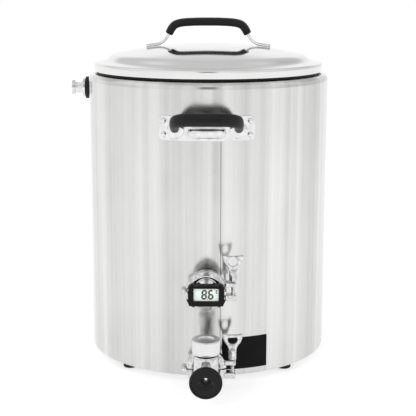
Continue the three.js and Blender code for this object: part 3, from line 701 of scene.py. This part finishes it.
# ---------------------------------------------------------------- sanitary clamps
def clamp_half(prefix, side, place):
    bm = bmesh.new()
    section = soften(
        [(22.5, -9), (26, -9, 1.2), (33, -5.5, 1.6), (33, 5.5, 1.6), (26, 9, 1.2), (22.5, 9),
         (22.5, 5.6), (25.8, 4.3), (25.8, -4.3), (22.5, -5.6)], 0.7, closed=True,
    )
    lift = math.degrees(math.asin(0.9 / 28))
    start = lift if side > 0 else 180 + lift
    lathe(bm, section, 72, place, start, 180 - 2 * lift)
    low, high = (6.3, 14.0) if side > 0 else (-16.0, -6.3)
    for z0, z1 in ((-8, -3.5), (3.5, 8)):
        block(bm, (29.5, low, z0), (48, high, z1), 1.1, 3, place)
    block(bm, (29.5, low, -8), (39, high, 8), 1.1, 3, place)
    knuckles = [(-2.8, 2.8)] if side > 0 else [(-8, -3.4), (3.4, 8)]
    for z0, z1 in knuckles:
        hinge = place @ Matrix.Translation((-36.5, 0, 0))
        lathe(bm, soften([(0, z0), (4.5, z0), (4.5, z1), (0, z1)], 0.5), 36, hinge)
        y0, y1 = (0.8, 4.4) if side > 0 else (-4.4, -0.8)
        block(bm, (-36.5, y0, z0), (-29, y1, z1), 0.5, 2, place)
    name = "upper" if side > 0 else "lower"
    fused = cast(bm, 0.55, 4)
    node = f"{prefix}_clamp_{name}"
    piece(node + "_casting", fused, CLAMP, "vessel", [node], 180, False)


def wing_nut(prefix, place):
    low, shoulder, top = 14.9, 28.0, 58.0
    right = []
    for a, b, c in (((6, shoulder), (6.5, 36), (11, 41)), ((11, 41), (16.2, 47), (16.2, top - 1.0))):
        a, b, c = Vector(a), Vector(b), Vector(c)
        steps = [k / 8 for k in range(8)]
        right += [tuple((1 - t) ** 2 * a + 2 * t * (1 - t) * b + t * t * c) for t in steps]
    right.append((16.2, top - 1.0))
    edge = [(13.5, top), (8.0, top - 1.2), (0.0, top - 1.6), (-8.0, top - 1.2), (-13.5, top)]
    outline = right + edge + [(-x, y) for x, y in reversed(right)]
    bm = bmesh.new()
    move = place @ Matrix.Translation((BOLT_X, 0, 0))
    plate(bm, outline, [circle(0, 47.6, 7.6, 40)], -2.5, 2.5, 1.3, move)
    stem = soften([(0, low), (6.5, low, 0.8), (6.5, 27, 1.0), (5.6, 33, 2.0), (0, 34.4)], 0.6)
    lathe(bm, stem, 48, move @ UPRIGHT)
    fused = cast(bm, 0.5, 5)
    body, node = prefix + "_wing_nut", prefix + "_clamp_wing_nut"
    piece(prefix + "_wing_casting", fused, CLAMP, body, [node], 180, False)


def clamp(prefix, height):
    place = station(FRONT, height) @ Matrix.Translation((0, 0, CLAMP_D))
    clamp_half(prefix, 1, place)
    clamp_half(prefix, -1, place)
    wing_nut(prefix, place)

    bm = bmesh.new()
    move = place @ Matrix.Translation((BOLT_X, 0, 0))
    thread = [(0, PIVOT_Y), (3.0, PIVOT_Y)]
    y = PIVOT_Y + 2
    while y < 37.0:
        thread += [(3.0, y), (2.55, y + 0.5), (2.55, y + 0.6), (3.0, y + 1.1)]
        y += 1.25
    thread += [(2.4, 38.0), (0, 38.0)]
    lathe(bm, thread, 36, move @ UPRIGHT)
    tee = soften([(0, -7.6), (2.8, -7.6), (2.8, 7.6), (0, 7.6)], 0.5)
    lathe(bm, tee, 32, move @ Matrix.Translation((0, PIVOT_Y, 0)))
    body, node = prefix + "_tee_bolt", prefix + "_clamp_tee_bolt"
    piece(prefix + "_bolt_thread", bm, FASTENER, body, [node])

    pin = soften([(0, -10.6), (3.4, -10.6), (3.4, -8.5), (1.8, -8.4), (1.8, 9.0), (0, 9.0)], 0.4)
    turned(prefix + "_hinge_rivet", pin, FASTENER, "vessel", [prefix + "_clamp_hinge_pin"],
           place @ Matrix.Translation((-36.5, 0, 0)), 32)


# ---------------------------------------------------------------- thermometer
def head_outline():
    w, top, bottom, corner = 27.4, 15.0, -17.4, 1.6
    middle = (top + bottom) / 2
    curves = [
        ((corner - w, bottom), (0, bottom - 1.6), (w - corner, bottom)),
        ((w - corner, bottom), (w, bottom), (w, bottom + corner)),
        ((w, bottom + corner), (w + 3, middle), (w, top - corner)),
        ((w, top - corner), (w, top), (w - corner, top)),
        ((w - corner, top), (0, top + 1.2), (corner - w, top)),
        ((corner - w, top), (-w, top), (-w, top - corner)),
        ((-w, top - corner), (-w - 3, middle), (-w, bottom + corner)),
        ((-w, bottom + corner), (-w, bottom), (corner - w, bottom)),
    ]
    out = []
    for a, b, c in curves:
        a, b, c = Vector(a), Vector(b), Vector(c)
        for k in range(12):
            t = k / 12
            out.append(tuple((1 - t) ** 2 * a + 2 * t * (1 - t) * b + t * t * c))
    return out


# each bar's place across and up the numeral, and whether it lies level
SEGMENTS = {
    "a": (0, 1, 1), "b": (1, 0.5, 0), "c": (1, -0.5, 0), "d": (0, -1, 1),
    "e": (-1, -0.5, 0), "f": (-1, 0.5, 0), "g": (0, 0, 1),
}


def digit(bm, lit, x, y, width, height, stroke, depth, place):
    """One seven-bar numeral with mitred bars; (x, y) is its centre."""
    w, h, s = width / 2 - stroke / 2, height / 2 - stroke / 2, stroke / 2
    for name in lit:
        u, v, level = SEGMENTS[name]
        if level:
            length = w - 0.1
            bar = [
                (-length, 0), (-length + s, -s), (length - s, -s),
                (length, 0), (length - s, s), (-length + s, s),
            ]
            centre = (x, y + v * h)
        else:
            length = h / 2 - 0.1
            bar = [
                (0, -length), (s, -length + s), (s, length - s),
                (0, length), (-s, length - s), (-s, -length + s),
            ]
            centre = (x + u * w, y + v * h)
        points = [(centre[0] + px + 0.05 * (centre[1] + py - y), centre[1] + py) for px, py in bar]
        low = [bm.verts.new(place @ Vector((px, py, depth))) for px, py in points]
        high = [bm.verts.new(place @ Vector((px, py, depth + 0.12))) for px, py in points]
        bm.faces.new(low)
        bm.faces.new(high)
        for i in range(len(low)):
            j = (i + 1) % len(low)
            bm.faces.new((low[i], low[j], high[j], high[i]))


def thermometer():
    place = station(FRONT, THERMO_Z)
    body = "thermometer_head_body"
    face = CLAMP_D - 1
    bore = THERMO_TUBE_R - 1.6
    ferrule = soften(
        [(bore, -17), (THERMO_TUBE_R, -17), (THERMO_TUBE_R, 0.0), (THERMO_TUBE_R, face - 5.2, 1.5),
         (FLANGE_R, face - 2.85, 0.8), (FLANGE_R, face, 0.4), (bore, face)], 0.3, closed=True)
    turned("thermometer_pipe", ferrule, FITTING, "vessel", ["thermometer_ferrule"], place)
    low, high = face + 0.1, face + 1.9
    gasket = soften([(17.6, low), (FLANGE_R, low), (FLANGE_R, high), (17.6, high)], 0.4, closed=True)
    turned("thermometer_seal", gasket, SILICONE, "vessel", ["thermometer_gasket"], place)

    well = soften(
        [(0, -95), (4.75, -95, 2.0), (4.75, 30), (4.75, face + 2), (FLANGE_R, face + 2, 0.4),
         (FLANGE_R, face + 4.85, 0.7), (19.4, 43.3, 0.6), (18.9, 43.0, 0.3), (9.0, 46.8, 0.6),
         (8.6, 47.5, 0.3), (3.4, 47.5), (3.4, 40), (0, 40)], 0.3)
    turned("thermometer_well", well, POLISHED, "vessel", ["thermowell"], place)
    clamp("thermometer", THERMO_Z)

    probe = soften([(0, -91), (2.9, -91, 1.2), (2.9, 57.7), (5, 57.8), (5, 59), (0, 59)], 0.3)
    turned("thermometer_stem", probe, POLISHED, body, ["thermometer_probe"], place, 40)

    bm = bmesh.new()
    window_y = 1.1
    middle = place @ Matrix.Translation((0, window_y, 0))
    window = [(x, y + window_y) for x, y in rounded_rectangle(39.6, 20.5, 1.2)]
    plate(bm, head_outline(), [], 54, 66.4, 1.2, place)
    plate(bm, head_outline(), [window], 65.0, 70.2, 1.0, place)
    rim = [(x, y + window_y) for x, y in rounded_rectangle(46.0, 25.4, 1.6)]
    plate(bm, rim, [window], 69.4, 71.0, 0.5, place)
    lathe(bm, soften([(0, 47.9), (9.5, 47.9, 0.8), (9.5, 55), (0, 55)], 0.5), 48, place)
    piece("thermometer_case", bm, CASE, body, ["thermometer_head"])

    bm = bmesh.new()
    plate(bm, rounded_rectangle(40.6, 21.5, 0.6), [], 66.6, 67.4, 0.1, middle)
    piece("thermometer_panel", bm, PANEL, body, ["thermometer_display"])
    bm = bmesh.new()
    digit(bm, "abcdefg", -3.1, 0, 9.0, 16.4, 2.9, 67.45, middle)
    digit(bm, "acdefg", 7.3, 0, 9.0, 16.4, 2.9, 67.45, middle)
    for x, y, wide, high in ((2.1, -7.2, 1.2, 1.6), (16.2, 6.2, 2.6, 1.8), (16.4, 3.0, 2.0, 2.2)):
        block(bm, (x - wide / 2, y - high / 2, 67.45), (x + wide / 2, y + high / 2, 67.57), 0.04, 1, middle)
    piece("thermometer_digits", bm, INK, body, [], 30, False)
    bm = bmesh.new()
    plate(bm, rounded_rectangle(39.0, 19.9, 1.0), [], 69.0, 70.2, 0.15, middle)
    piece("thermometer_pane", bm, WINDOW, body, ["thermometer_lens"])


# ---------------------------------------------------------------- ball valve
def valve():
    place = station(FRONT, DRAIN_Z)
    stem_place = place @ Matrix.Translation((0, 0, VALVE_D)) @ UPRIGHT
    face = CLAMP_D - 1
    pipe = soften(
        [(DRAIN_BORE_R, -60), (DRAIN_PIPE_R, -60), (DRAIN_PIPE_R, face - 7.4, 1.5),
         (FLANGE_R, face - 2.85, 0.8),
         (FLANGE_R, face, 0.4), (DRAIN_BORE_R, face)], 0.3, closed=True)
    bm = bmesh.new()
    lathe(bm, pipe, 80, place)
    turns = [2 * math.pi * k / 48 for k in range(48)]
    ring = [(DRAIN_PIPE_R * math.cos(a), DRAIN_PIPE_R * math.sin(a)) for a in turns]
    elbow = [(0, 63), *arc(-17, 58, 17, 0, -90, 5), (-60, 41), (-110, 41), (-150.5, 41)]
    sweep(bm, ring, spline([Vector((0, y, z)) for y, z in elbow], 60), (1, 0, 0))
    piece("drain_tube", bm, FITTING, "vessel", ["drain_pipe"])
    low, high = face + 0.1, face + 1.9
    gasket = soften([(11.2, low), (FLANGE_R, low), (FLANGE_R, high), (11.2, high)], 0.4, closed=True)
    turned("valve_seal", gasket, SILICONE, "vessel", ["valve_gasket"], place)
    clamp("valve", DRAIN_Z)

    cap = soften(
        [(9.5, face + 2), (FLANGE_R, face + 2, 0.4), (FLANGE_R, face + 4.85, 0.8),
         (DRAIN_PIPE_R, face + 9.4, 1.5),
         (DRAIN_PIPE_R, 49, 0.8), (19.5, 49, 0.8), (19.5, 53, 0.8), (9.5, 53)], 0.4, closed=True)
    turned("valve_rear_cap", cap, FITTING, "vessel", ["valve_inlet_cap"], place)

    bm = bmesh.new()
    tower = [(0, -21), (15.5, -21, 2.5), (20, -16.5, 3.0), (20, 29.5, 1.5), (17.6, 33, 1.0), (0, 33)]
    lathe(bm, soften(tower, 0.8, 6), 96, stem_place)
    barrel = soften(
        [(9.5, 53.3), (19.5, 53.3, 0.8), (19.5, 84, 2.0), (15.5, 90, 2.0), (14.0, 94, 2.0),
         (14.0, 100.5, 2.0),
         (23.4, 104, 0.8), (23.4, 107.6, 0.5), (9.5, 107.6)], 0.6, 5, closed=True)
    lathe(bm, barrel, 96, place)
    piece("valve_casing", bm, FITTING, "vessel", ["valve_body"])

    ring = soften(
        [(11, 108), (23.7, 108), (23.7, 104.4), (26.1, 104.4, 0.8), (26.4, 106.5, 1.5), (26.4, 109.4, 2.4),
         (24.6, 111.5, 1.6), (22.9, 110.9, 0.5), (22.3, 109.5, 0.4), (12.0, 109.5, 0.8), (11, 108.9, 0.5)],
        0.3, 5, closed=True)
    turned("valve_outlet_cap", ring, OUTLET, "vessel", ["valve_outlet_ring"], place, 128)
    # painted shade: a black silicone lining inside the outlet bore, with no part in the frame, put there so
    # the bore reads dark
    bore_shade_lining = [(8.9, 87), (9.4, 87), (9.4, 107.7), (10.9, 107.7), (10.9, 108.5), (8.9, 108.5)]
    turned("valve_bore_shade_lining", bore_shade_lining, SILICONE, "vessel", [], place, 64)

    packing = soften([(5.4, 33.3), (17, 33.3, 0.5), (17, 35.3, 0.5), (5.4, 35.3)], 0.4, closed=True)
    turned("valve_packing", packing, SILICONE, "vessel", ["valve_packing_ring"],
           stem_place)
    stem = soften([(0, 16.1), (5, 16.1), (5, 54.3), (0, 54.3)], 0.4)
    turned("valve_spindle", stem, POLISHED, "valve_handle", ["valve_stem"],
           stem_place, 40)
    knob = [
        (0, 36), (20.4, 36, 1.0), (22.6, 37.6, 1.2), (23.0, 40.0, 0.8), (23.5, 58.4, 0.8),
        (22.4, 60.3, 0.8),
        (13.8, 60.3, 0.5), (13.0, 57.8, 0.6), (0, 57.8),
    ]
    turned("valve_hand_knob", soften(knob, 0.4), KNOB, "valve_handle", ["valve_knob"],
           stem_place, 128)


# ---------------------------------------------------------------- lid
def dome_z(r):
    return LID_TOP_Z - r * r / (2 * DOME_R)


def lid():
    dome = [(r, dome_z(r)) for r in (0, 15, 30, 50, 70, 90, 110, 130, 148, 160, DOME_EDGE_R)]
    step = [(173.2, 527.6), (176.5, 524.3), (180, 522.2), (184, 521.0), (190, 519.8), (195.5, 518.8)]
    curl = arc(196.0, 514.2, 4.5, 85, 0, 10)
    skirt = [(LID_R, LID_Z + 0.6), (LID_R - 0.5, LID_Z), (LID_R - LID_T, LID_Z)]
    inner = arc(196.0, 514.2, 3.3, 0, 85, 8)
    under = [(r, z - LID_T) for r, z in reversed(dome + step)]
    profile = dome + step + curl + skirt + inner + under
    turned("lid_dome", profile, LID, "lid", ["lid_shell"], segments=240, sharp=50)
    low = LID_Z - 9
    pan = soften(
        [(0, low), (187, low, 3.0), (187, LID_Z, 0.6), (197.9, LID_Z), (197.9, LID_Z + 1.2),
         (185.8, LID_Z + 1.2, 0.6),
         (185.8, low + 1.2, 2.4), (0, low + 1.2)], 0.4, 5)
    turned("lid_underside", pan, PAN, "lid", ["lid_pan"], segments=200)
    gasket = soften(
        [(191, 500.2), (195.6, 500.2, 1.0), (195.6, 504.0, 1.0), (191, 504.0)], 0.6, closed=True)
    turned("lid_seal", gasket, SILICONE, "lid", ["lid_gasket"], segments=200)

    half = [
        (-108.5, 545.4), (-97, 547.1), (-86.5, 548.9), (-79, 552.7), (-73, 559), (-68.6, 567),
        (-64, 575.3), (-57.5, 581.9), (-45, 585.4), (-22, 586.9),
    ]
    points = half + [(0, 587.1)] + [(-x, z) for x, z in reversed(half)]
    path = spline([Vector((x, 0, z)) for x, z in points], 260)
    bm = bmesh.new()
    strap = soften([(-7.5, -2.7), (7.5, -2.7), (7.5, 2.7), (-7.5, 2.7)], 1.6, 4, closed=True)
    sweep(bm, [(v, u) for u, v in strap], path, (0, 1, 0))
    piece("lid_handle_legs", bm, HANDLE, "lid", ["lid_handle_strap"])
    bm = bmesh.new()
    hold = cut_path(path, 0.187, 0.813)
    sweep(bm, oval(14.4, 21), hold, (0, 1, 0), round_ends(hold, 5.0))
    piece("lid_handle_hold", bm, GRIP, "lid", ["lid_handle_grip"], 60)


# ---------------------------------------------------------------- pieces kept from the frame
KEPT = {
    "wall_insulation": FOAM, "base_insulation": FOAM, "valve_seat_rear": SEAT_PAINTED_SHADE, "valve_seat_front": SEAT_PAINTED_SHADE,
    "valve_ball": BALL_PAINTED_SHADE, "false_bottom": BASE, "false_bottom_seal": SILICONE,
}


def kept_nodes():
    for name, material in KEPT.items():
        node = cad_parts[name]
        node.data.materials.clear()
        node.data.materials.append(material)


# ---------------------------------------------------------------- studio
def studio():
    floor_mesh = bpy.data.meshes.new("floor")
    bm = bmesh.new()
    bmesh.ops.create_circle(bm, cap_ends=True, segments=96, radius=14.0)
    bm.to_mesh(floor_mesh)
    bm.free()
    floor = bpy.data.objects.new("floor", floor_mesh)
    bpy.context.scene.collection.objects.link(floor)
    pale = Shader("pale_floor")
    soft = pale.noise((1.5, 1.5, 1.5), 2.0, 0.5)
    pale.link(pale.mix(pale.span(soft, 0.0, 1.0), grey(0.54), grey(0.56)), "Base Color")
    pale.set("Roughness", 0.9)
    pale.set("Emission Color", grey(1.0)).set("Emission Strength", 0.59)
    floor_mesh.materials.append(pale.material)

    world = bpy.data.worlds.new("studio")
    bpy.context.scene.world = world
    world.use_nodes = True
    nodes, links = world.node_tree.nodes, world.node_tree.links
    background = nodes["Background"]
    coord = nodes.new("ShaderNodeTexCoord").outputs["Generated"]
    parts = nodes.new("ShaderNodeSeparateXYZ")
    links.new(coord, parts.inputs[0])

    def math_node(operation, a, b=0.0):
        made = nodes.new("ShaderNodeMath")
        made.operation = operation
        for i, value in enumerate((a, b)):
            if isinstance(value, bpy.types.NodeSocket):
                links.new(value, made.inputs[i])
            else:
                made.inputs[i].default_value = value
        return made.outputs[0]

    def smooth(source, low, high, start, end):
        made = nodes.new("ShaderNodeMapRange")
        made.interpolation_type = "SMOOTHSTEP"
        links.new(source, made.inputs["Value"])
        for key, value in (("From Min", start), ("From Max", end), ("To Min", low), ("To Max", high)):
            made.inputs[key].default_value = value
        return made.outputs["Result"]

    # a narrow dark opening in the light tent round the camera, and softer grey panels elsewhere
    side = math_node("ABSOLUTE", parts.outputs["X"])
    across = smooth(side, 1.0, 0.0, 0.07, 0.20)
    toward = smooth(parts.outputs["Y"], 1.0, 0.0, -0.5, -0.1)
    up_from = smooth(parts.outputs["Z"], 0.0, 1.0, 0.02, 0.16)
    up_to = smooth(parts.outputs["Z"], 1.0, 0.0, 0.60, 0.82)
    level, upright = math_node("MULTIPLY", across, toward), math_node("MULTIPLY", up_from, up_to)
    opening = math_node("MULTIPLY", level, upright)
    tent = math_node("SUBTRACT", 1.0, math_node("MULTIPLY", opening, 0.70))
    behind = smooth(parts.outputs["Y"], 0.0, 0.30, 0.2, 0.6)
    panel = math_node("MULTIPLY", smooth(parts.outputs["Z"], 0.0, 1.0, 0.30, 0.48), behind)
    tent = math_node("MULTIPLY", tent, math_node("SUBTRACT", 1.0, panel))
    tent = math_node("MULTIPLY", tent, smooth(parts.outputs["X"], 1.0, 0.86, 0.1, 0.6))
    tent = math_node("MULTIPLY", tent, smooth(parts.outputs["Z"], 1.0, 0.70, 0.80, 0.98))
    far_side = math_node("ABSOLUTE", parts.outputs["X"])
    tent = math_node("MULTIPLY", tent, smooth(far_side, 1.0, 0.86, 0.80, 0.97))
    camera_sees = nodes.new("ShaderNodeLightPath").outputs["Is Camera Ray"]
    shown = math_node("MAXIMUM", tent, camera_sees)
    links.new(shown, background.inputs["Color"])
    background.inputs["Strength"].default_value = 1.02

    def lamp(name, position, size, power, aim):
        data = bpy.data.lights.new(name, "AREA")
        data.shape, data.size, data.size_y, data.energy = "RECTANGLE", size[0], size[1], power
        light = bpy.data.objects.new(name, data)
        light.location = position
        light.rotation_mode = "QUATERNION"
        light.rotation_quaternion = (Vector(aim) - Vector(position)).to_track_quat("-Z", "Y")
        light.visible_glossy = False
        bpy.context.scene.collection.objects.link(light)

    lamp("key", (-1.6, -1.9, 2.1), (1.2, 1.2), 14.0, (0, 0, 0.3))
    lamp("fill", (2.0, -1.2, 1.6), (1.4, 1.4), 8.0, (0, 0, 0.3))


def camera():
    data = bpy.data.cameras.new("camera")
    data.sensor_width = 36.0
    data.lens = 94.4
    data.clip_start, data.clip_end = 0.05, 60.0
    cam = bpy.data.objects.new("camera", data)
    azimuth, pitch, roll = rad(0.55), rad(11.83), rad(0.11)
    distance, height = 1.931, 0.659
    cam.location = (distance * math.sin(azimuth), -distance * math.cos(azimuth), height)
    around, tilt = Matrix.Rotation(azimuth, 4, "Z"), Matrix.Rotation(rad(90) - pitch, 4, "X")
    aim = around @ tilt @ Matrix.Rotation(roll, 4, "Z")
    cam.rotation_euler = aim.to_euler()
    bpy.context.scene.collection.objects.link(cam)
    bpy.context.scene.camera = cam
    bpy.context.scene.view_settings.view_transform = "Standard"


vessel()
side_handle("front", FRONT)
side_handle("rear", REAR)
side_inlet()
thermometer()
valve()
lid()
kept_nodes()
studio()
camera()
